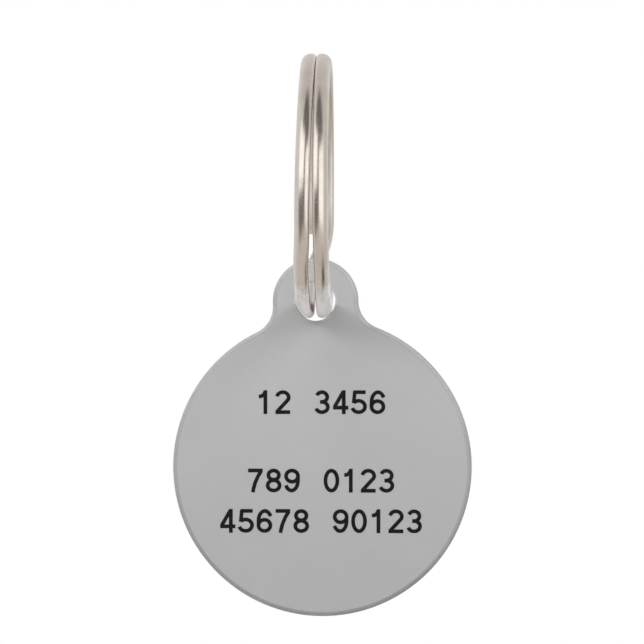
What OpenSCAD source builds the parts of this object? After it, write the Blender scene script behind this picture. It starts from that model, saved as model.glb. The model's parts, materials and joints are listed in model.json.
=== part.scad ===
// Round pet identity tag on a two-turn split ring.
// The tag stands upright in the XZ plane, its front towards -Y. The ring goes through the
// tag's hole, square to its face. The origin is the hang point, at the top of the ring's inside.

/* [Tag] */
// Diameter of the round part of the tag
disc_d = 31.75; // [22:0.25:40]
// Thickness of the plate
plate_t = 1.5; // [1.2:0.1:2.4]
// Radius rolled on the outer edge, front and back
edge_r = 0.5; // [0.2:0.05:0.55]
// Height of the hole's centre above the top of the round part
hole_stand = 1.72; // [1:0.02:4]
// Width of metal between the hole and the edge of the lug
lug_wall = 2.45; // [1.5:0.05:4]
// Radius of the hollow corners where the lug meets the round part
neck_r = 3.05; // [1.5:0.05:6]
// Radius on the two lips of the hole
lip_r = 0.15; // [0.05:0.01:0.3]

/* [Split ring] */
// Outer diameter of the ring
ring_d = 28.1; // [20:0.1:36]
// Width of the wire, along the axis of the ring
wire_w = 1.55; // [1.5:0.05:1.9]
// Thickness of the wire, from the inside of the ring to the outside
wire_t = 1.9; // [1.6:0.05:2.4]
// Radius on the wire's outer corner, on the side away from the other turn
shoulder_r = 1.1; // [0.6:0.05:1.15]
// Radius on the wire's outer corner, on the side next to the other turn
mating_r = 0.35; // [0.15:0.05:0.4]
// Radius on the wire's two corners at the inside of the ring
wire_in_r = 0.45; // [0.2:0.05:0.7]
// Gap between the two turns
turn_gap = 0.4; // [0.3:0.02:0.7]
// How far below level, at the back, the wire starts to cross from turn to turn
cross_low_angle = 60; // [52:1:75]
// How far below level, at the back, the crossing ends
cross_high_angle = 24; // [10:1:30]
// Angle left between each cut end of the wire and the crossing
end_clear_angle = 2.5; // [1:0.5:10]

/* [Fit of the ring in the hole] */
// Room left all round the two turns when they are in the middle of the hole
hole_play = 0.26; // [0.15:0.01:0.8]
// Room left where the ring sits, low in the hole
seat_play = 0.04; // [0.03:0.01:0.1]
// Lean of the ring to the right of the tag's own upright
ring_lean = 2.6; // [0:0.1:6]
// Turn of the ring about the upright, its back going to the left
ring_turn = 1.7; // [0:0.1:3]

/* [Hidden] */
TAG_GREY = [0.70, 0.70, 0.70];
NICKEL = [0.74, 0.70, 0.65];

// Number of sides that a round surface is drawn with
round_sides = 96;
// Stations along one turn of the wire, and steps round each corner of its section
turn_stations = 60;
corner_steps = 3;
// Stations each side of a point in which the gap to the other turn is measured
gap_reach = 2;
// How far a cut runs past the face that it goes through
cut_over = 0.5 * plate_t;
// How far the hollow corner's round runs into the rounds that it meets, so that their surfaces cross
neck_lap_share = 0.0015;

// Section of the pair of turns, and the hole that takes it
pair_half_w = wire_w + turn_gap / 2;
pair_reach = max([for (r = [shoulder_r, wire_in_r]) norm([pair_half_w - r, wire_t / 2 - r]) + r]);
hole_r = pair_reach + hole_play;
seat_r = hole_r - seat_play - shoulder_r;
// Depth of the ring's lowest point under the centre of the hole
ring_sit = shoulder_r + sqrt(pow(seat_r, 2) - pow(pair_half_w - shoulder_r, 2));

// Outline of the tag, from the centre of its round part
disc_r = disc_d / 2;
hole_rise = disc_r + hole_stand;
lug_r = hole_r + lug_wall;
edge = min(edge_r, 0.48 * plate_t);
neck_rise = (pow(disc_r + neck_r, 2) - pow(lug_r + neck_r, 2) + pow(hole_rise, 2)) / (2 * hole_rise);
neck_side = sqrt(pow(disc_r + neck_r, 2) - pow(neck_rise, 2));

// Centre line of the ring, and the place of the hole's centre under the hang point
ring_mid_r = (ring_d - wire_t) / 2;
ring_rise = ring_d / 2 - ring_sit;
hang_rise = ring_rise + ring_d / 2 - wire_t;
hole_x = -hang_rise * sin(ring_lean);
hole_z = -hang_rise * cos(ring_lean);

// Course of the wire: its angle runs from the back, over the top, down the front and round again
wire_start = -cross_high_angle + end_clear_angle;
wire_finish = 720 - cross_low_angle - end_clear_angle;
cross_start = 360 - cross_low_angle;
cross_span = cross_low_angle - cross_high_angle;
station_angle = 360 / turn_stations;
wire_stations = [for (a = wire_start; a < wire_finish - station_angle / 2; a = a + station_angle) a,
    wire_finish];

// Share of the way across to the second turn at one angle of the course
function cross_share(a) =
    let (way = min(1, max(0, (a - cross_start) / cross_span))) (1 - cos(180 * way)) / 2;
function wire_x(a) = (cross_share(a) - 0.5) * (wire_w + turn_gap);
// Slope of the wire to the plane of the ring
function wire_slope(a) = atan2(wire_x(a + 0.5) - wire_x(a - 0.5), ring_mid_r * PI / 180);

// Points round the wire's section: across the wire, then out from the ring's middle.
// The big shoulder changes sides as the wire crosses, so it stays away from the other turn.
function corner(side, end, r, from) = [for (i = [0 : corner_steps]) let (a = from + 90 * i / corner_steps)
    [side * (wire_w / 2 - r) + r * cos(a), end * (wire_t / 2 - r) + r * sin(a)]];
function wire_section(share) = concat(
    corner(1, 1, mating_r + (shoulder_r - mating_r) * share, 0),
    corner(-1, 1, shoulder_r + (mating_r - shoulder_r) * share, 90),
    corner(-1, -1, wire_in_r, 180),
    corner(1, -1, wire_in_r, 270));

// The section's points at one angle of the course, square to the wire
function wire_ring(a) = [for (p = wire_section(cross_share(a)))
    let (out = ring_mid_r + p[1], along = p[0] * sin(wire_slope(a)))
    [wire_x(a) + p[0] * cos(wire_slope(a)),
     out * cos(a) + along * sin(a),
     out * sin(a) - along * cos(a)]];

// Least distance between points of the first turn and the turn beside it
function least_gap(rings) = min([for (i = [0 : len(rings) - 1], k = [-gap_reach : gap_reach])
    let (j = i + turn_stations + k) if (j > i && j < len(rings))
    min([for (p = rings[i], q = rings[j]) norm(p - q)])]);

module tag_plate() {
    color(TAG_GREY) translate([hole_x, 0, hole_z - hole_rise]) rotate([90, 0, 0]) {
        difference() {
            union() {
                rounded_disc(disc_r);
                translate([0, hole_rise, 0]) rounded_disc(lug_r);
                neck();
            }
            translate([0, hole_rise, 0]) round_cut(hole_r, lip_r);
        }
    }
}

// Disc with a rolled edge, on the middle plane of the plate
module rounded_disc(r) {
    rotate_extrude($fn = round_sides) {
        translate([0, -plate_t / 2]) square([r - edge, plate_t]);
        translate([0, edge - plate_t / 2]) square([r, plate_t - 2 * edge]);
        for (side = [-1, 1]) translate([r - edge, side * (plate_t / 2 - edge)])
            circle(r = edge, $fn = round_sides);
    }
}

// Metal between the disc and the lug, hollowed on both sides
module neck() {
    difference() {
        linear_extrude(plate_t, center = true)
            polygon([[0, 0], [neck_side, neck_rise], [0, hole_rise], [-neck_side, neck_rise]]);
        for (side = [-1, 1]) translate([side * neck_side, neck_rise, 0])
            round_cut(neck_r * (1 + neck_lap_share), edge);
    }
}

// Round cut through the plate that leaves a rolled edge of radius e at both faces
module round_cut(r, e) {
    rotate_extrude($fn = round_sides) difference() {
        translate([0, -plate_t / 2 - cut_over]) square([r + e, plate_t + 2 * cut_over]);
        translate([r, e - plate_t / 2]) square([e + cut_over, plate_t - 2 * e]);
        for (side = [-1, 1]) translate([r + e, side * (plate_t / 2 - e)])
            circle(r = e, $fn = round_sides);
    }
}

module split_ring() {
    rings = [for (a = wire_stations) wire_ring(a)];
    echo(str("Least gap between the turns of the split ring: ", least_gap(rings), " mm"));
    color(NICKEL) translate([hole_x, 0, hole_z]) rotate([0, ring_lean, 0]) rotate([0, 0, ring_turn])
        translate([0, 0, ring_rise]) swept(rings);
}

// Closed tube through rings of points, with a flat cut end at the first and the last
module swept(rings) {
    n = len(rings[0]);
    last = len(rings) - 1;
    sides = [for (i = [0 : last - 1], j = [0 : n - 1]) let (k = (j + 1) % n)
        each [[i * n + j, (i + 1) * n + j, (i + 1) * n + k], [i * n + j, (i + 1) * n + k, i * n + k]]];
    first_cap = [for (j = [1 : n - 2]) [0, j, j + 1]];
    last_cap = [for (j = [1 : n - 2]) [last * n, last * n + j + 1, last * n + j]];
    polyhedron(points = [for (ring = rings) each ring], faces = concat(sides, first_cap, last_cap));
}

tag_plate();
split_ring();
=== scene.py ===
import json
from math import atan2, cos, pi, radians, sin, tan

import bmesh
import bpy
from mathutils import Matrix, Vector
from mathutils.geometry import delaunay_2d_cdt


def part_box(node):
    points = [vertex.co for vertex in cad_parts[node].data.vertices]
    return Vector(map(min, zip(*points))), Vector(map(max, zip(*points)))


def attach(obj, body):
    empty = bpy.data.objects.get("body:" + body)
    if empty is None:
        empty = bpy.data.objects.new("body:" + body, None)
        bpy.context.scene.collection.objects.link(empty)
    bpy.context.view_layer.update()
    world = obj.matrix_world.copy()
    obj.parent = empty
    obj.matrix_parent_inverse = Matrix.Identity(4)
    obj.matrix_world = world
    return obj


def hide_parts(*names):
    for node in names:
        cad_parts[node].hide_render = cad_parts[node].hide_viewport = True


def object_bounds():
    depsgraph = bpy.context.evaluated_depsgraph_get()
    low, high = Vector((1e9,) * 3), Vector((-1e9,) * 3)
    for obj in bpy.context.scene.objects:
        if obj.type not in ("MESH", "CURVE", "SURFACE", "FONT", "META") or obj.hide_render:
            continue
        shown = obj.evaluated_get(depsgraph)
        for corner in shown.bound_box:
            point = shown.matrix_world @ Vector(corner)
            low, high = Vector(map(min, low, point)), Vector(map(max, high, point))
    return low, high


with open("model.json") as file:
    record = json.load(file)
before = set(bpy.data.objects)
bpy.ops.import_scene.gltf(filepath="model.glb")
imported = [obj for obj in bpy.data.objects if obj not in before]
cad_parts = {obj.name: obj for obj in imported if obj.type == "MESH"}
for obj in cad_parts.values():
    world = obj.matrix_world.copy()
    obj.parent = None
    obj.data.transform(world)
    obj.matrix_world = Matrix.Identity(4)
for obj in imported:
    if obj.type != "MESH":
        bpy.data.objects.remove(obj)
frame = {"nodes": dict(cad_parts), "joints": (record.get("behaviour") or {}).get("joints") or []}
cad_low, cad_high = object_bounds()


# Tag plate. One stamped aluminium blank, tumbled until its edges are rolled, then anodised to an
# even light grey with a fine satin grain. It hangs on the split ring by the hole in its lug, and
# the solid of the CAD model is shown as it is.
MM = 0.001
plate = frame["nodes"]["tag_plate"]
plate_low, plate_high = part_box("tag_plate")
disc_r = (plate_high.x - plate_low.x) / 2
disc_centre = Vector(((plate_low.x + plate_high.x) / 2, 0, plate_low.z + disc_r))
hole_centre = Vector(frame["joints"][0]["pos_m"])
half_plate_t = (plate_high.y - plate_low.y) / 2

# The flat faces, with faint mottling, smudges and nicks. Their reflections get a paler painted sheen.
anodised_grey = (0.268, 0.268, 0.2695, 1)
anodised_pale = (0.273, 0.273, 0.2745, 1)
painted_sheen_grey = (0.43, 0.43, 0.43, 1)
mottle_size = 5 * MM
mottle_range = (0.3, 0.7)
satin_metallic = 0.3
satin_roughness = (0.46, 0.52)
satin_smudges = (0.25, 0.75)
satin_grain_size = 0.07 * MM
satin_grain_depth = 0.004 * MM
nick_depth = 0.008 * MM
nick_strength = 0.6

# Rolled edge in a darker painted shade, starting just below the faces; lips of the hole, rubbed by the
# ring
rolled_edge_painted_shade = (0.222, 0.222, 0.223, 1)
edge_depths = (0.0005 * MM, 0.004 * MM)
rubbed_lip_grey = (0.40, 0.40, 0.40, 1)
# Painted sheen: reflections of the rubbed lips show near-white
lip_painted_sheen = (0.95, 0.95, 0.95, 1)
lip_reach = 2.4 * MM
lip_fade_share = 1.1

# Bare metal, which shows a little in scratches and along a worn line where the face meets the edge
bare_aluminium = (0.66, 0.665, 0.67, 1)
scratch_bare_share = 0.12
worn_bare_share = 0.1
worn_mottle = (0.45, 0.7)
wear_band = 0.1 * MM


def add_node(tree, kind, inputs=None, **settings):
    """Adds one node, with its settings, and sets its inputs or links them to other nodes' outputs."""
    node = tree.nodes.new(kind)
    for name, value in settings.items():
        setattr(node, name, value)
    for name, value in (inputs or {}).items():
        if isinstance(value, bpy.types.NodeSocket):
            tree.links.new(value, node.inputs[name])
        else:
            node.inputs[name].default_value = value
    return node


def calculate(tree, operation, *values):
    """Output of a Math node over numbers or other nodes' outputs."""
    return add_node(tree, "ShaderNodeMath", dict(enumerate(values)), operation=operation).outputs[0]


def calculate_vector(tree, operation, *vectors):
    """Output of a Vector Math node: a number for a distance or a length, and else a vector."""
    node = add_node(tree, "ShaderNodeVectorMath", dict(enumerate(vectors)), operation=operation)
    return node.outputs["Value" if operation in ("DISTANCE", "LENGTH") else "Vector"]


def step_up(tree, value, low, high):
    """0 where the value is under low, 1 over high, and a smooth rise between them."""
    rise = add_node(tree, "ShaderNodeMapRange", {"Value": value, "From Min": low, "From Max": high},
                    interpolation_type="SMOOTHSTEP")
    return rise.outputs["Result"]


def step_down(tree, value, low, high):
    """1 where the value is under low, 0 over high, and a smooth fall between them."""
    return calculate(tree, "SUBTRACT", 1.0, step_up(tree, value, low, high))


def remap(tree, value, old, new):
    """The value, taken from an old range to a new one and held inside it."""
    ranges = {"From Min": old[0], "From Max": old[1], "To Min": new[0], "To Max": new[1]}
    return add_node(tree, "ShaderNodeMapRange", {"Value": value, **ranges}).outputs["Result"]


def noise(tree, where, size, detail, roughness=0.5):
    """Noise with spots of about the given size, and finer ones on them."""
    return add_node(tree, "ShaderNodeTexNoise",
                    {"Vector": where, "Scale": 1 / size, "Detail": detail,
                     "Roughness": roughness}).outputs["Fac"]


def bump(tree, height, depth, strength=1.0, over=None, sunk=False):
    """Normal of a relief of the given depth, over another one, raised or sunk where height is 1."""
    inputs = {"Height": height, "Distance": depth, "Strength": strength}
    if over is not None:
        inputs["Normal"] = over
    return add_node(tree, "ShaderNodeBump", inputs, invert=sunk).outputs["Normal"]


def blend_colour(tree, share, first, second):
    """Colour that goes from the first to the second as the share goes from 0 to 1."""
    mix = add_node(tree, "ShaderNodeMix", data_type="RGBA")
    for socket, value in ((mix.inputs[0], share), (mix.inputs[6], first), (mix.inputs[7], second)):
        if isinstance(value, bpy.types.NodeSocket):
            tree.links.new(value, socket)
        else:
            socket.default_value = value
    return mix.outputs[2]


def new_effect(name, inputs, outputs):
    """Empty shader node group with named sockets, its input node and its output node."""
    group = bpy.data.node_groups.new(name, "ShaderNodeTree")
    for label, kind, value in inputs:
        socket = group.interface.new_socket(name=label, in_out="INPUT", socket_type=kind)
        if value is not None:
            socket.default_value = value
    for label, kind in outputs:
        group.interface.new_socket(name=label, in_out="OUTPUT", socket_type=kind)
    return group, group.nodes.new("NodeGroupInput"), group.nodes.new("NodeGroupOutput")


def new_material(name):
    """Material with no nodes yet, and its node tree."""
    material = bpy.data.materials.new(name)
    material.use_nodes = True
    material.node_tree.nodes.clear()
    return material, material.node_tree


# Handling marks, on the tag and on the ring. Scratches are the highest stretches of a noise drawn
# out along two ways, smudges are a soft noise, and nicks are round pits in a few of many cells.
handling_marks, given, made = new_effect(
    "handling_marks",
    [("Place", "NodeSocketVector", None),
     ("Scratch Length", "NodeSocketFloat", 4 * MM),
     ("Scratch Width", "NodeSocketFloat", 0.05 * MM),
     ("Smudge Size", "NodeSocketFloat", 4 * MM),
     ("Nick Spacing", "NodeSocketFloat", 1.5 * MM)],
    [("Scratches", "NodeSocketFloat"), ("Smudges", "NodeSocketFloat"), ("Nicks", "NodeSocketFloat")])
scratch_angles = (radians(24), radians(-51))
scratch_range = (0.71, 0.78)
nick_share = 0.14
nick_r_share = 0.09
marks_place = given.outputs["Place"]
along = calculate(handling_marks, "DIVIDE", 1.0, given.outputs["Scratch Length"])
across = calculate(handling_marks, "DIVIDE", 1.0, given.outputs["Scratch Width"])
squeeze = add_node(handling_marks, "ShaderNodeCombineXYZ", {"X": along, "Y": across, "Z": across})
scratches = 0.0
for angle in scratch_angles:
    turned = add_node(handling_marks, "ShaderNodeVectorRotate", {"Vector": marks_place, "Angle": angle},
                      rotation_type="Y_AXIS")
    stretched = calculate_vector(handling_marks, "MULTIPLY", turned.outputs["Vector"],
                                 squeeze.outputs["Vector"])
    lines = add_node(handling_marks, "ShaderNodeTexNoise",
                     {"Vector": stretched, "Scale": 1.0, "Detail": 1.0, "Distortion": 0.25})
    sharp = step_up(handling_marks, lines.outputs["Fac"], *scratch_range)
    scratches = calculate(handling_marks, "MAXIMUM", sharp, scratches)
smudge_scale = calculate(handling_marks, "DIVIDE", 1.0, given.outputs["Smudge Size"])
smudge = add_node(handling_marks, "ShaderNodeTexNoise",
                  {"Vector": marks_place, "Scale": smudge_scale, "Detail": 4.0, "Roughness": 0.55,
                   "Distortion": 0.6})
nick_scale = calculate(handling_marks, "DIVIDE", 1.0, given.outputs["Nick Spacing"])
cells = add_node(handling_marks, "ShaderNodeTexVoronoi", {"Vector": marks_place, "Scale": nick_scale})
cell_parts = add_node(handling_marks, "ShaderNodeSeparateColor", {"Color": cells.outputs["Color"]})
chosen = calculate(handling_marks, "LESS_THAN", cell_parts.outputs[0], nick_share)
nick_r = calculate(handling_marks, "MULTIPLY", cell_parts.outputs[1], nick_r_share)
inside_nick = calculate(handling_marks, "LESS_THAN", cells.outputs["Distance"], nick_r)
nicks = calculate(handling_marks, "MULTIPLY", chosen, inside_nick)
for label, value in (("Scratches", scratches), ("Smudges", smudge.outputs["Fac"]), ("Nicks", nicks)):
    handling_marks.links.new(value, made.inputs[label])

tag_metal, tree = new_material("tag_metal")
plate_place = add_node(tree, "ShaderNodeTexCoord").outputs["Object"]
marks = add_node(tree, "ShaderNodeGroup", {"Place": plate_place}, node_tree=handling_marks)
mottle = noise(tree, plate_place, mottle_size, detail=5.0, roughness=0.6)
grain = noise(tree, plate_place, satin_grain_size, detail=2.0, roughness=0.7)
mirrored = add_node(tree, "ShaderNodeLightPath").outputs["Is Glossy Ray"]
front_colour = blend_colour(tree, step_up(tree, mottle, *mottle_range), anodised_grey, anodised_pale)
# Painted sheen: reflections of the face show a paler grey than the camera sees
face_or_painted_sheen = blend_colour(tree, mirrored, front_colour, painted_sheen_grey)
flat_place = calculate_vector(tree, "MULTIPLY", plate_place, (1, 0, 1))
from_hole = calculate_vector(tree, "DISTANCE", flat_place, hole_centre)
past_lip = step_up(tree, from_hole, lip_reach, lip_fade_share * lip_reach)
# The rubbed lips, with a painted sheen where a reflection sees them
rubbed_lip_or_painted_sheen = blend_colour(tree, mirrored, rubbed_lip_grey, lip_painted_sheen)
lip_colour = blend_colour(tree, past_lip, rubbed_lip_or_painted_sheen, rolled_edge_painted_shade)
plate_y = add_node(tree, "ShaderNodeSeparateXYZ", {"Vector": plate_place}).outputs["Y"]
depth = calculate(tree, "SUBTRACT", half_plate_t, calculate(tree, "ABSOLUTE", plate_y))
# Painted shade: the rolled edge below the faces takes a darker grey
unworn_colour = blend_colour(tree, step_up(tree, depth, *edge_depths), face_or_painted_sheen, lip_colour)
worn_line = calculate(tree, "MULTIPLY", step_up(tree, depth, 0.0, wear_band),
                      step_down(tree, depth, wear_band, 3 * wear_band))
worn = calculate(tree, "MULTIPLY", worn_line, step_up(tree, mottle, *worn_mottle))
scratched_bare = calculate(tree, "MULTIPLY", marks.outputs["Scratches"], scratch_bare_share)
worn_bare = calculate(tree, "MULTIPLY", worn, worn_bare_share)
bare_share = calculate(tree, "MAXIMUM", scratched_bare, worn_bare)
tag_colour = blend_colour(tree, bare_share, unworn_colour, bare_aluminium)
tag_roughness = remap(tree, marks.outputs["Smudges"], satin_smudges, satin_roughness)
grain_normal = bump(tree, grain, satin_grain_depth)
tag_normal = bump(tree, marks.outputs["Nicks"], nick_depth, nick_strength, over=grain_normal, sunk=True)
tag_surface = add_node(tree, "ShaderNodeBsdfPrincipled",
                       {"Base Color": tag_colour, "Roughness": tag_roughness, "Metallic": satin_metallic,
                        "Normal": tag_normal})
add_node(tree, "ShaderNodeOutputMaterial", {"Surface": tag_surface.outputs["BSDF"]})
plate.data.materials.clear()
plate.data.materials.append(tag_metal)


# Print on the front of the tag. Three rows of plain numerals in near-black ink, printed level in
# the photograph, so they are turned a little from the tag's own upright. The ink is a film that
# stands a little proud of the face, and every numeral is drawn with strokes of one width.
rows = ("12 3456", "789 0123", "45678 90123")
tag_lean = radians(2.3)
ink_proud = 0.015 * MM
ink_sunk = 0.015 * MM
ink_black = (0.0045, 0.0045, 0.0048, 1)
ink_thin = (0.0075, 0.0075, 0.0078, 1)
ink_cover_size = 0.3 * MM
ink_cover_range = (0.4, 0.75)
ink_relief = 0.004 * MM
ink_roughness = (0.38, 0.55)
ink_gloss = 0.08

# Pixels of the photograph: its side, the disc's diameter and centre, the rows' middles, and a
# numeral's width and height, the step to the next one, a space and the width of a stroke. Then
# come the distances at which a stroke counts as closed and its points as one.
photo_px = 644
disc_px = 298.7
disc_px_x = 322.3
disc_px_y = 466.6
row_px_x = 321.3
row_px_y = (402.0, 480.3, 520.7)
numeral_px_w = 15.7
numeral_px_h = 23.8
numeral_px_step = 18.4
space_px = 21.0
stroke_px = 3.75
closing_px = 0.01
merge_px = 0.0001
m_per_px = 2 * disc_r / disc_px
degrees_per_step = 12


def bow(x, y, half_w, half_h, start, finish):
    """Points of an elliptical arc between two angles in degrees, the ends included."""
    count = round(abs(finish - start) / degrees_per_step)
    angles = [radians(start + (finish - start) * i / count) for i in range(count + 1)]
    return [(x + half_w * cos(a), y + half_h * sin(a)) for a in angles]


# Middle lines of the strokes, as shares of a numeral's width and height
six = [bow(0.5, 0.315, 0.38, 0.235, 0, 360),
       bow(0.53, 0.50, 0.41, 0.42, 28, 180) + [(0.12, 0.32)]]
strokes = {
    "0": [bow(0.5, 0.5, 0.38, 0.42, 0, 360)],
    "1": [[(0.56, 0), (0.56, 1)],
          [(0.14, 0.73), (0.32, 0.75), (0.45, 0.81), (0.54, 0.92)]],
    "2": [bow(0.5, 0.70, 0.375, 0.22, 170, -25) + [(0.16, 0.12)],
          [(0.03, 0.08), (0.97, 0.08)]],
    "3": [bow(0.48, 0.715, 0.34, 0.205, 160, -90) + [(0.36, 0.51)],
          [(0.36, 0.51)] + bow(0.48, 0.295, 0.38, 0.215, 90, -165)],
    "4": [[(0.70, 0), (0.70, 1)],
          [(0.12, 0.31), (0.66, 0.93)],
          [(0.02, 0.27), (0.99, 0.27)]],
    "5": [[(0.15, 0.92), (0.92, 0.92)],
          [(0.23, 0.96), (0.16, 0.46)],
          bow(0.47, 0.32, 0.41, 0.24, 140, -165)],
    "6": six,
    "7": [[(0.04, 0.92), (0.97, 0.92)],
          [(0.88, 0.90), (0.66, 0.66), (0.48, 0.38), (0.38, 0.13), (0.35, 0)]],
    "8": [bow(0.5, 0.725, 0.335, 0.195, 0, 360),
          bow(0.5, 0.295, 0.38, 0.215, 0, 360)],
    "9": [[(1 - x, 1 - y) for x, y in stroke] for stroke in six]}


def ribbon(line):
    """Points on both sides of a stroke's middle line, half a stroke from it."""
    closed = (line[0] - line[-1]).length < closing_px
    sides = []
    for i, here in enumerate(line):
        before = line[i - 1] if i else (line[-2] if closed else None)
        after = line[i + 1] if i + 1 < len(line) else (line[1] if closed else None)
        ways = [(there - here).normalized() * sign for there, sign in ((before, -1), (after, 1)) if there]
        way = sum(ways, Vector((0, 0))).normalized()
        reach = stroke_px / 2 / way.dot(ways[0])
        across = reach * Vector((-way.y, way.x))
        sides.append((here + across, here - across))
    return sides


def row_film(row):
    """Film of ink in the form of one row of numerals, in pixels, level and centred."""
    points, patches, left = [], [], 0.0
    for numeral in row:
        for stroke in strokes.get(numeral, []):
            line = [Vector((left + x * numeral_px_w, y * numeral_px_h)) for x, y in stroke]
            sides = ribbon(line)
            for first, second in zip(sides, sides[1:]):
                patches.append([len(points) + i for i in range(4)])
                points += [first[0], first[1], second[1], second[0]]
        left += numeral_px_step if numeral in strokes else space_px
    right = left - numeral_px_step + numeral_px_w
    cut = delaunay_2d_cdt(points, [], patches, 0, merge_px)
    film = bmesh.new()
    corners = [film.verts.new((p.x - right / 2, p.y - numeral_px_h / 2, 0)) for p in cut[0]]
    for face, source in zip(cut[2], cut[5]):
        if source:
            film.faces.new([corners[i] for i in face])
    bmesh.ops.delete(film, geom=[v for v in film.verts if not v.link_faces], context="VERTS")
    bmesh.ops.dissolve_limit(film, angle_limit=radians(1), verts=film.verts, edges=film.edges)
    return film


def add_object(name, data):
    """New object in the scene, made of a mesh, a camera or a light."""
    added = bpy.data.objects.new(name, data)
    bpy.context.scene.collection.objects.link(added)
    return added


def add_piece(name, shape, material):
    """New object in the scene, made of a bmesh, which is used up, and a material."""
    mesh = bpy.data.meshes.new(name)
    shape.to_mesh(mesh)
    shape.free()
    mesh.materials.append(material)
    return add_object(name, mesh)


ink, tree = new_material("ink")
ink_place = add_node(tree, "ShaderNodeTexCoord").outputs["Object"]
cover = noise(tree, ink_place, ink_cover_size, detail=3.0)
ink_colour = blend_colour(tree, step_up(tree, cover, *ink_cover_range), ink_black, ink_thin)
ink_surface = add_node(tree, "ShaderNodeBsdfPrincipled",
                       {"Base Color": ink_colour,
                        "Roughness": remap(tree, cover, (0.0, 1.0), ink_roughness),
                        "Normal": bump(tree, cover, ink_relief),
                        "Specular IOR Level": ink_gloss})
add_node(tree, "ShaderNodeOutputMaterial", {"Surface": ink_surface.outputs["BSDF"]})

on_face = Matrix.Translation(disc_centre + Vector((0, -half_plate_t, 0)))
level = Matrix.Rotation(tag_lean, 4, "Y") @ Matrix.Rotation(pi / 2, 4, "X") @ Matrix.Scale(m_per_px, 4)
for number, (row, px_y) in enumerate(zip(rows, row_px_y)):
    row_place = Matrix.Translation((row_px_x - disc_px_x, disc_px_y - px_y, 0))
    shape = row_film(row)
    bmesh.ops.translate(shape, verts=shape.verts, vec=(0, 0, ink_proud / m_per_px))
    sunk = bmesh.ops.extrude_face_region(shape, geom=shape.faces[:], use_keep_orig=True)["geom"]
    bmesh.ops.translate(shape, verts=[part for part in sunk if isinstance(part, bmesh.types.BMVert)],
                        vec=(0, 0, -(ink_proud + ink_sunk) / m_per_px))
    bmesh.ops.transform(shape, verts=shape.verts, matrix=on_face @ level @ row_place)
    bmesh.ops.recalc_face_normals(shape, faces=shape.faces)
    ink_row = add_piece(f"ink_row_{number + 1}", shape, ink)
    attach(ink_row, "tag")


# Split ring. One length of hard spring wire, drawn to a rounded section, coiled into nearly two
# turns, cut off square and nickel-plated. It steps from the first turn to the second low at the
# back, and its lowest point sits in the hole of the tag.
ring_d = 28.06 * MM
ring_turn = radians(1.4)

# Section of the wire. Its outer side has a round crown away from the other turn and a tighter
# corner where the turns mate, and its two inner corners are alike.
wire_w = 1.58 * MM
wire_t = 1.88 * MM
crown_r = 1.0 * MM
mating_r = 0.43 * MM
inner_r = 0.4 * MM
outer_steps = 40
inner_steps = 8

# Course of the wire. Its angles are 0 at the back, 90 degrees at the top, 180 at the front and 270
# at the bottom, and go on into the second turn. The ends are bevelled where they were cut.
wire_start = radians(-20.5)
wire_finish = radians(657.5)
cross_start = radians(302)
cross_finish = radians(344)
station_angle = radians(1.5)
end_bevel = 0.12 * MM
end_bevel_share = 0.88

# Departures from a true coil. The turns nearly touch at the top and stand apart lower down, both
# bow a little to the left, and a bend low at the front moves them further and opens them more.
top_gap = 0.01 * MM
bottom_gap = 0.34 * MM
side_gap_swell = 0.18 * MM
ring_bow = 0.15 * MM
bend_rise = (radians(200), radians(225))
bend_fall = (radians(250), radians(266))
front_bend = 0.08 * MM
front_gap_swell = 0.2 * MM

# Plating: clean and smudged, rubbed and painted brighter near the tag, where shade falls, and painted
# brighter between the turns
nickel = (0.73, 0.67, 0.61, 1)
nickel_dull = (0.68, 0.62, 0.56, 1)
dull_smudges = (0.35, 0.7)
rubbed_nickel_painted_bright = (0.85, 0.82, 0.81, 1)
rubbed_reach = 8.6 * MM
rubbed_fade_shares = (0.9, 1.1)
# Painted light: a brighter nickel in the gap between the turns, against the shade there
gap_painted_bright_nickel = (0.91, 0.86, 0.82, 1)
gap_sides = (0.2 * MM, 0.5 * MM)
gap_depth = 0.2 * MM

# Polish: the roughness that smudges give, what streaks along the wire, the gap and the inside of
# the ring add to it, and the relief of the streaks, of shallow waves and of scuffs
bright_roughness = (0.18, 0.26)
bright_smudges = (0.3, 0.7)
streak_roughness = 0.08
gap_roughness = 0.1
inside_roughness = 0.2
inside_rise = (0.1 * MM, 0.5 * MM)
streak_width = 0.05 * MM
streaks_per_radian = 4.0
streak_depth = 0.0008 * MM
wave_size = 2.2 * MM
wave_depth = 0.012 * MM
scuff_length = 1.2 * MM
scuff_width = 0.03 * MM
scuff_depth = 0.004 * MM
scuff_strength = 0.5
ring_smudge_size = 2.5 * MM
ring_nick_spacing = 0.9 * MM

inside_r = ring_d / 2 - wire_t
middle_r = (ring_d - wire_t) / 2
ring_lean = atan2(-hole_centre.x, -hole_centre.z)
ring_centre = -inside_r * Vector((sin(ring_lean), 0, cos(ring_lean)))
ring_place = (Matrix.Translation(ring_centre) @ Matrix.Rotation(ring_lean, 4, "Y")
              @ Matrix.Rotation(ring_turn, 4, "Z"))


def eased(angle, start, finish):
    """0 up to the first angle, 1 from the second on, and a smooth rise between them."""
    way = min(1, max(0, (angle - start) / (finish - start)))
    return (1 - cos(pi * way)) / 2


def crossed(angle):
    """Share of the way from the first turn to the second at one angle of the course."""
    return eased(angle, cross_start, cross_finish)


def wire_x(angle):
    """Place of the wire's middle along the axis of the ring, with its gap, bow and bend."""
    round_angle = angle % (2 * pi)
    bent = eased(round_angle, *bend_rise) - eased(round_angle, *bend_fall)
    gap = top_gap + (bottom_gap - top_gap + side_gap_swell * cos(angle) ** 2) * (1 - sin(angle)) / 2
    gap += front_gap_swell * bent
    sideways = ring_bow * cos(angle) ** 2 * (1 - sin(angle) / 2) + front_bend * bent
    return (crossed(angle) - 0.5) * (wire_w + gap) - sideways


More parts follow.
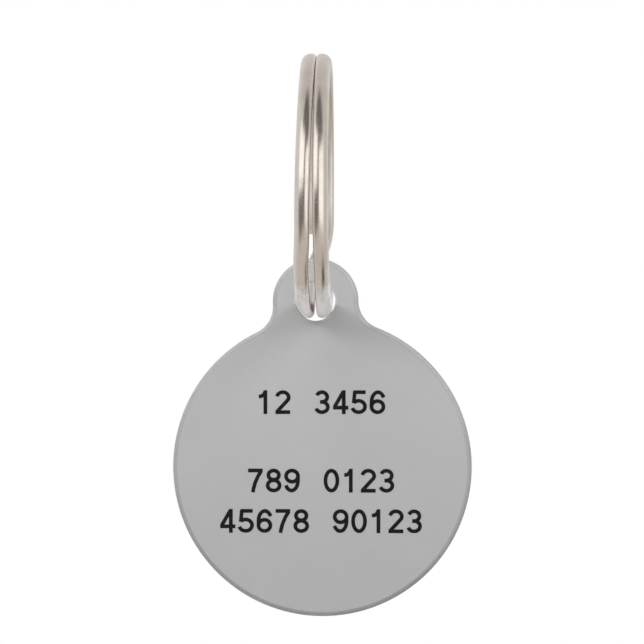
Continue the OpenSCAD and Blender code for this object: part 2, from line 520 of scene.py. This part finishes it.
def first_turn_point(facing, outer):
    """Point of the first turn's section whose surface faces the given way, across and out."""
    crown = Vector((crown_r - wire_w / 2, wire_t / 2 - crown_r))
    crown_past_top = (wire_w - crown_r - mating_r) / (crown_r - mating_r)
    mating_way = Vector((crown_past_top, (1 - crown_past_top ** 2) ** 0.5))
    if outer and facing >= atan2(mating_way.y, mating_way.x):
        centre, r = crown, crown_r
    elif outer:
        centre, r = crown + (crown_r - mating_r) * mating_way, mating_r
    else:
        side = 1 if facing > -pi / 2 else -1
        centre, r = Vector((side * (wire_w / 2 - inner_r), inner_r - wire_t / 2)), inner_r
    return centre + r * Vector((cos(facing), sin(facing)))


def wire_section(share):
    """Outline of the wire, mirrored from one turn to the other as the share goes from 0 to 1."""
    faces = [(pi - pi * i / outer_steps, True) for i in range(outer_steps + 1)]
    faces += [(-pi / 2 * i / inner_steps, False) for i in range(inner_steps)]
    faces += [(-pi / 2 - pi / 2 * i / inner_steps, False) for i in range(inner_steps + 1)]
    points = []
    for facing, outer in faces:
        here = first_turn_point(facing, outer)
        there = first_turn_point(pi - facing if outer else -pi - facing, outer)
        points.append(Vector((here.x + (-there.x - here.x) * share,
                              here.y + (there.y - here.y) * share)))
    return points


def wire_station(angle, scale=1.0):
    """Points of the section at one angle of the course, square to the wire."""
    half_step = radians(0.5)
    rise = (wire_x(angle + half_step) - wire_x(angle - half_step)) / (middle_r * 2 * half_step)
    slope = atan2(rise, 1)
    points = []
    for p in wire_section(crossed(angle)):
        out = middle_r + p.y * scale
        along = p.x * scale * sin(slope)
        points.append(Vector((wire_x(angle) + p.x * scale * cos(slope),
                              out * cos(angle) + along * sin(angle),
                              out * sin(angle) - along * cos(angle))))
    return points


count = round((wire_finish - wire_start) / station_angle)
bevel_angle = end_bevel / middle_r
course = [wire_start + bevel_angle + (wire_finish - wire_start - 2 * bevel_angle) * i / count
          for i in range(count + 1)]
stations = [wire_station(wire_start, end_bevel_share)]
stations += [wire_station(angle) for angle in course]
stations += [wire_station(wire_finish, end_bevel_share)]
shape = bmesh.new()
loops = [[shape.verts.new(p) for p in station] for station in stations]
for first, second in zip(loops, loops[1:]):
    for i in range(len(first)):
        j = (i + 1) % len(first)
        shape.faces.new((first[i], first[j], second[j], second[i]))
shape.faces.new(loops[0])
shape.faces.new(list(reversed(loops[-1])))
bmesh.ops.recalc_face_normals(shape, faces=shape.faces)

ring_nickel, tree = new_material("ring_nickel")
wire = add_piece("split_ring_wire", shape, ring_nickel)
wire.data.transform(ring_place)
wire.data.shade_smooth()
wire.data.set_sharp_from_angle(angle=radians(28))

# The finish follows the ring's own axes: X along its axis, and the spoke out from its centre
object_place = add_node(tree, "ShaderNodeTexCoord").outputs["Object"]
wire_place = add_node(tree, "ShaderNodeMapping",
                      {"Vector": object_place, "Location": ring_centre, "Rotation": ring_place.to_euler()},
                      vector_type="TEXTURE").outputs["Vector"]
wire_xyz = add_node(tree, "ShaderNodeSeparateXYZ", {"Vector": wire_place})
spoke_way = add_node(tree, "ShaderNodeCombineXYZ",
                     {"X": wire_xyz.outputs["Y"], "Y": wire_xyz.outputs["Z"]}).outputs["Vector"]
spoke = calculate_vector(tree, "LENGTH", spoke_way)
round_way = calculate_vector(tree, "NORMALIZE", spoke_way)
round_xyz = add_node(tree, "ShaderNodeSeparateXYZ", {"Vector": round_way})
streak_place = add_node(tree, "ShaderNodeCombineXYZ",
                        {"X": calculate(tree, "DIVIDE", wire_xyz.outputs["X"], streak_width),
                         "Y": calculate(tree, "DIVIDE", spoke, streak_width),
                         "Z": calculate(tree, "MULTIPLY", round_xyz.outputs["X"], streaks_per_radian)})
streak_round = calculate(tree, "MULTIPLY", round_xyz.outputs["Y"], streaks_per_radian)
streaks = add_node(tree, "ShaderNodeTexNoise",
                   {"Vector": streak_place.outputs["Vector"], "W": streak_round,
                    "Scale": 1.0, "Detail": 3.0, "Roughness": 0.6}, noise_dimensions="4D").outputs["Fac"]
waves = noise(tree, wire_place, wave_size, detail=1.0)
marks = add_node(tree, "ShaderNodeGroup",
                 {"Place": wire_place, "Scratch Length": scuff_length, "Scratch Width": scuff_width,
                  "Smudge Size": ring_smudge_size, "Nick Spacing": ring_nick_spacing},
                 node_tree=handling_marks)
dulled = step_up(tree, marks.outputs["Smudges"], *dull_smudges)
clean_nickel = blend_colour(tree, dulled, nickel, nickel_dull)
# Partly rubbed plating, partly painted light: the nickel near the tag is brighter, against the shade in
# the hole
from_hole = calculate_vector(tree, "DISTANCE", object_place, hole_centre)
off_tag = step_up(tree, from_hole, *[share * rubbed_reach for share in rubbed_fade_shares])
rubbed_or_brightened_nickel = blend_colour(tree, off_tag, rubbed_nickel_painted_bright, clean_nickel)
off_middle = calculate(tree, "ABSOLUTE", wire_xyz.outputs["X"])
in_gap = calculate(tree, "MULTIPLY", step_down(tree, off_middle, *gap_sides),
                   step_down(tree, spoke, ring_d / 2 - gap_depth, ring_d / 2))
wire_colour = blend_colour(tree, in_gap, rubbed_or_brightened_nickel, gap_painted_bright_nickel)
smudged = remap(tree, marks.outputs["Smudges"], bright_smudges, bright_roughness)
streaked = calculate(tree, "MULTIPLY_ADD", streaks, streak_roughness, smudged)
gapped = calculate(tree, "MULTIPLY_ADD", in_gap, gap_roughness, streaked)
on_inside = step_down(tree, spoke, *[inside_r + rise for rise in inside_rise])
wire_roughness = calculate(tree, "MULTIPLY_ADD", on_inside, inside_roughness, gapped)
wave_normal = bump(tree, waves, wave_depth)
streak_normal = bump(tree, streaks, streak_depth, over=wave_normal)
scuffs = calculate(tree, "MAXIMUM", marks.outputs["Scratches"], marks.outputs["Nicks"])
wire_normal = bump(tree, scuffs, scuff_depth, scuff_strength, over=streak_normal, sunk=True)
wire_surface = add_node(tree, "ShaderNodeBsdfPrincipled",
                        {"Base Color": wire_colour, "Roughness": wire_roughness, "Metallic": 1.0,
                         "Normal": wire_normal})
add_node(tree, "ShaderNodeOutputMaterial", {"Surface": wire_surface.outputs["BSDF"]})
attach(wire, "ring")
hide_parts("split_ring")


# Floor. A round sheet of pale matt card, well under the hanging tag, which fades out towards its
# rim and can't be seen from below.
floor_r = 360 * MM
floor_drop = 60 * MM
floor_steps = 96
floor_fade_shares = (0.45, 0.98)
floor_pale = (0.64, 0.635, 0.625, 1)
floor_shade = (0.60, 0.595, 0.585, 1)
floor_roughness = 0.9
fibre_size = 2 * MM
floor_centre = Vector((disc_centre.x, 0, cad_low.z - floor_drop))
shape = bmesh.new()
bmesh.ops.create_circle(shape, cap_ends=True, radius=floor_r, segments=floor_steps,
                        matrix=Matrix.Translation(floor_centre))
card, tree = new_material("pale_card")
floor = add_piece("floor", shape, card)
floor_place = add_node(tree, "ShaderNodeTexCoord").outputs["Object"]
from_centre = calculate_vector(tree, "DISTANCE", floor_place, floor_centre)
fading = step_up(tree, from_centre, *[share * floor_r for share in floor_fade_shares])
fibres = noise(tree, floor_place, fibre_size, detail=4.0)
card_colour = blend_colour(tree, fibres, floor_pale, floor_shade)
card_surface = add_node(tree, "ShaderNodeBsdfPrincipled",
                        {"Base Color": card_colour, "Roughness": floor_roughness})
unseen = add_node(tree, "ShaderNodeBsdfTransparent")
from_below = add_node(tree, "ShaderNodeNewGeometry").outputs["Backfacing"]
hidden = calculate(tree, "MAXIMUM", fading, from_below)
card_mix = add_node(tree, "ShaderNodeMixShader",
                    {"Fac": hidden, 1: card_surface.outputs["BSDF"], 2: unseen.outputs["BSDF"]})
add_node(tree, "ShaderNodeOutputMaterial", {"Surface": card_mix.outputs["Shader"]})
floor.visible_glossy = False


# Camera. It stands level with the middle of the picture, turned a little to the tag's right, and
# rolled so that the tag leans to the left as in the photograph.
camera_turn = radians(3)
camera_distance = 420 * MM
sensor_w = 36.0
view_w = photo_px * m_per_px
view_way = Vector((-sin(camera_turn), cos(camera_turn), 0))
level_right = Vector((cos(camera_turn), sin(camera_turn), 0))
picture_right = cos(tag_lean) * level_right - sin(tag_lean) * Vector((0, 0, 1))
picture_up = sin(tag_lean) * level_right + cos(tag_lean) * Vector((0, 0, 1))
disc_right = (disc_px_x - photo_px / 2) * m_per_px
disc_up = (photo_px / 2 - disc_px_y) * m_per_px
view_target = disc_centre - disc_right * picture_right - disc_up * picture_up
lens = bpy.data.cameras.new("camera")
lens.sensor_width = sensor_w
lens.lens = sensor_w * camera_distance / view_w
lens.clip_start = 0.05
lens.clip_end = 10
camera = add_object("camera", lens)
turned = Matrix((picture_right, picture_up, -view_way)).transposed().to_4x4()
camera.matrix_world = Matrix.Translation(view_target - camera_distance * view_way) @ turned
bpy.context.scene.camera = camera


# Studio light. Two softboxes stand at the front, left and right, with a dark gap between them for
# the camera. Five small lamps, which nothing mirrors, light the tag from the front and the back,
# and those in front throw the ring's soft shadows. The room is pale all round.
light_white = (1.0, 1.0, 1.0)

# Each light's name, azimuth and elevation, half its width and height as angles, all in degrees,
# its distance in metres and its radiance
softboxes = [
    ("left_softbox", -37, 24, 29, 25.5, 0.4, 0.66),
    ("right_softbox", 37, -1, 29, 31, 0.4, 0.70)]
lamps = [
    ("left_lamp", -50, 30, 9, 9, 0.2, 31.6),
    ("right_lamp", 48, 30, 14, 14, 0.12, 14.5),
    ("top_lamp", -35, 62, 16, 16, 0.09, 5.6),
    ("back_left_lamp", -135, 30, 14, 14, 0.2, 14.0),
    ("back_right_lamp", 135, 20, 14, 14, 0.2, 10.0)]


def hang_light(name, azimuth, elevation, half_width, half_height, distance, radiance):
    """Rectangular light that faces the object. Azimuth 0 is the camera's side, plus to its right."""
    turn = radians(azimuth) + camera_turn
    rise = radians(elevation)
    way = Vector((sin(turn) * cos(rise), -cos(turn) * cos(rise), sin(rise)))
    panel = bpy.data.lights.new(name, "AREA")
    panel.shape = "RECTANGLE"
    panel.size = 2 * distance * tan(radians(half_width))
    panel.size_y = 2 * distance * tan(radians(half_height))
    panel.energy = radiance * pi * panel.size * panel.size_y
    panel.color = light_white
    light = add_object(name, panel)
    light.rotation_mode = "QUATERNION"
    light.rotation_quaternion = way.to_track_quat("Z", "Y")
    light.location = view_target + distance * way
    light.visible_camera = False
    return light


for softbox in softboxes:
    hang_light(*softbox)
for lamp in lamps:
    hang_light(*lamp).visible_glossy = False

# The room, white to the camera. Its left and right, floor and top blend into each other, and on
# them are soft-edged patches that the ring mirrors as its dark lines and its glow.
room_left = (0.81, 0.805, 0.80, 1)
room_right = (0.68, 0.675, 0.67, 1)
room_top = (0.66, 0.65, 0.64, 1)
room_floor = (0.68, 0.65, 0.61, 1)
room_glow = (0.88, 0.87, 0.86, 1)
room_dark = (0.17, 0.158, 0.145, 1)
room_darkest = (0.08, 0.075, 0.07, 1)
room_white = (1.0, 1.0, 1.0, 1)
side_range = (-0.7, 0.7)
floor_rise = (radians(-40), radians(-10))
top_rise = (radians(25), radians(65))

# Each patch's left and right azimuth, low and high elevation and softness, in degrees, and its
# colour. The first two are behind the object, and the third is the gap for the camera.
patches = [
    (134, 154, -40, 22, 6, room_glow),
    (-158, -134, 6, 24, 6, room_glow),
    (-9, 9, -34, 50, 3, room_dark),
    (-52, 66, 43, 86, 4, room_dark),
    (10, 66, 32, 50, 3, room_dark),
    (-50, 52, 70, 88, 6, room_darkest),
    (70, 140, -74, -50, 5, room_darkest),
    (-68, -6, -38, -2, 5, room_dark)]

room = bpy.data.worlds.new("room")
room.use_nodes = True
tree = room.node_tree
tree.nodes.clear()
room_place = add_node(tree, "ShaderNodeTexCoord").outputs["Generated"]
way = add_node(tree, "ShaderNodeSeparateXYZ", {"Vector": room_place})
toward = calculate(tree, "MULTIPLY", way.outputs["Y"], -1.0)
turn = calculate(tree, "SUBTRACT", calculate(tree, "ARCTAN2", way.outputs["X"], toward), camera_turn)
rise = calculate(tree, "ARCSINE", way.outputs["Z"])


def between(angle, low, high, soft):
    """1 where the angle is between two others, given in degrees, 0 outside, with soft borders."""
    above = step_up(tree, angle, radians(low) - radians(soft), radians(low) + radians(soft))
    below = step_up(tree, angle, radians(high) - radians(soft), radians(high) + radians(soft))
    return calculate(tree, "SUBTRACT", above, below)


tone = blend_colour(tree, step_up(tree, way.outputs["X"], *side_range), room_left, room_right)
tone = blend_colour(tree, step_up(tree, rise, *floor_rise), room_floor, tone)
tone = blend_colour(tree, step_up(tree, rise, *top_rise), tone, room_top)
for left, right, low, high, soft, colour in patches:
    inside = calculate(tree, "MULTIPLY", between(turn, left, right, soft), between(rise, low, high, soft))
    tone = blend_colour(tree, inside, tone, colour)
lit_room = add_node(tree, "ShaderNodeBackground", {"Color": tone, "Strength": 1.0})
white_room = add_node(tree, "ShaderNodeBackground", {"Color": room_white, "Strength": 1.0})
seen = add_node(tree, "ShaderNodeLightPath").outputs["Is Camera Ray"]
room_mix = add_node(tree, "ShaderNodeMixShader",
                    {"Fac": seen, 1: lit_room.outputs["Background"], 2: white_room.outputs["Background"]})
add_node(tree, "ShaderNodeOutputWorld", {"Surface": room_mix.outputs["Shader"]})
bpy.context.scene.world = room
bpy.context.scene.view_settings.view_transform = "Standard"
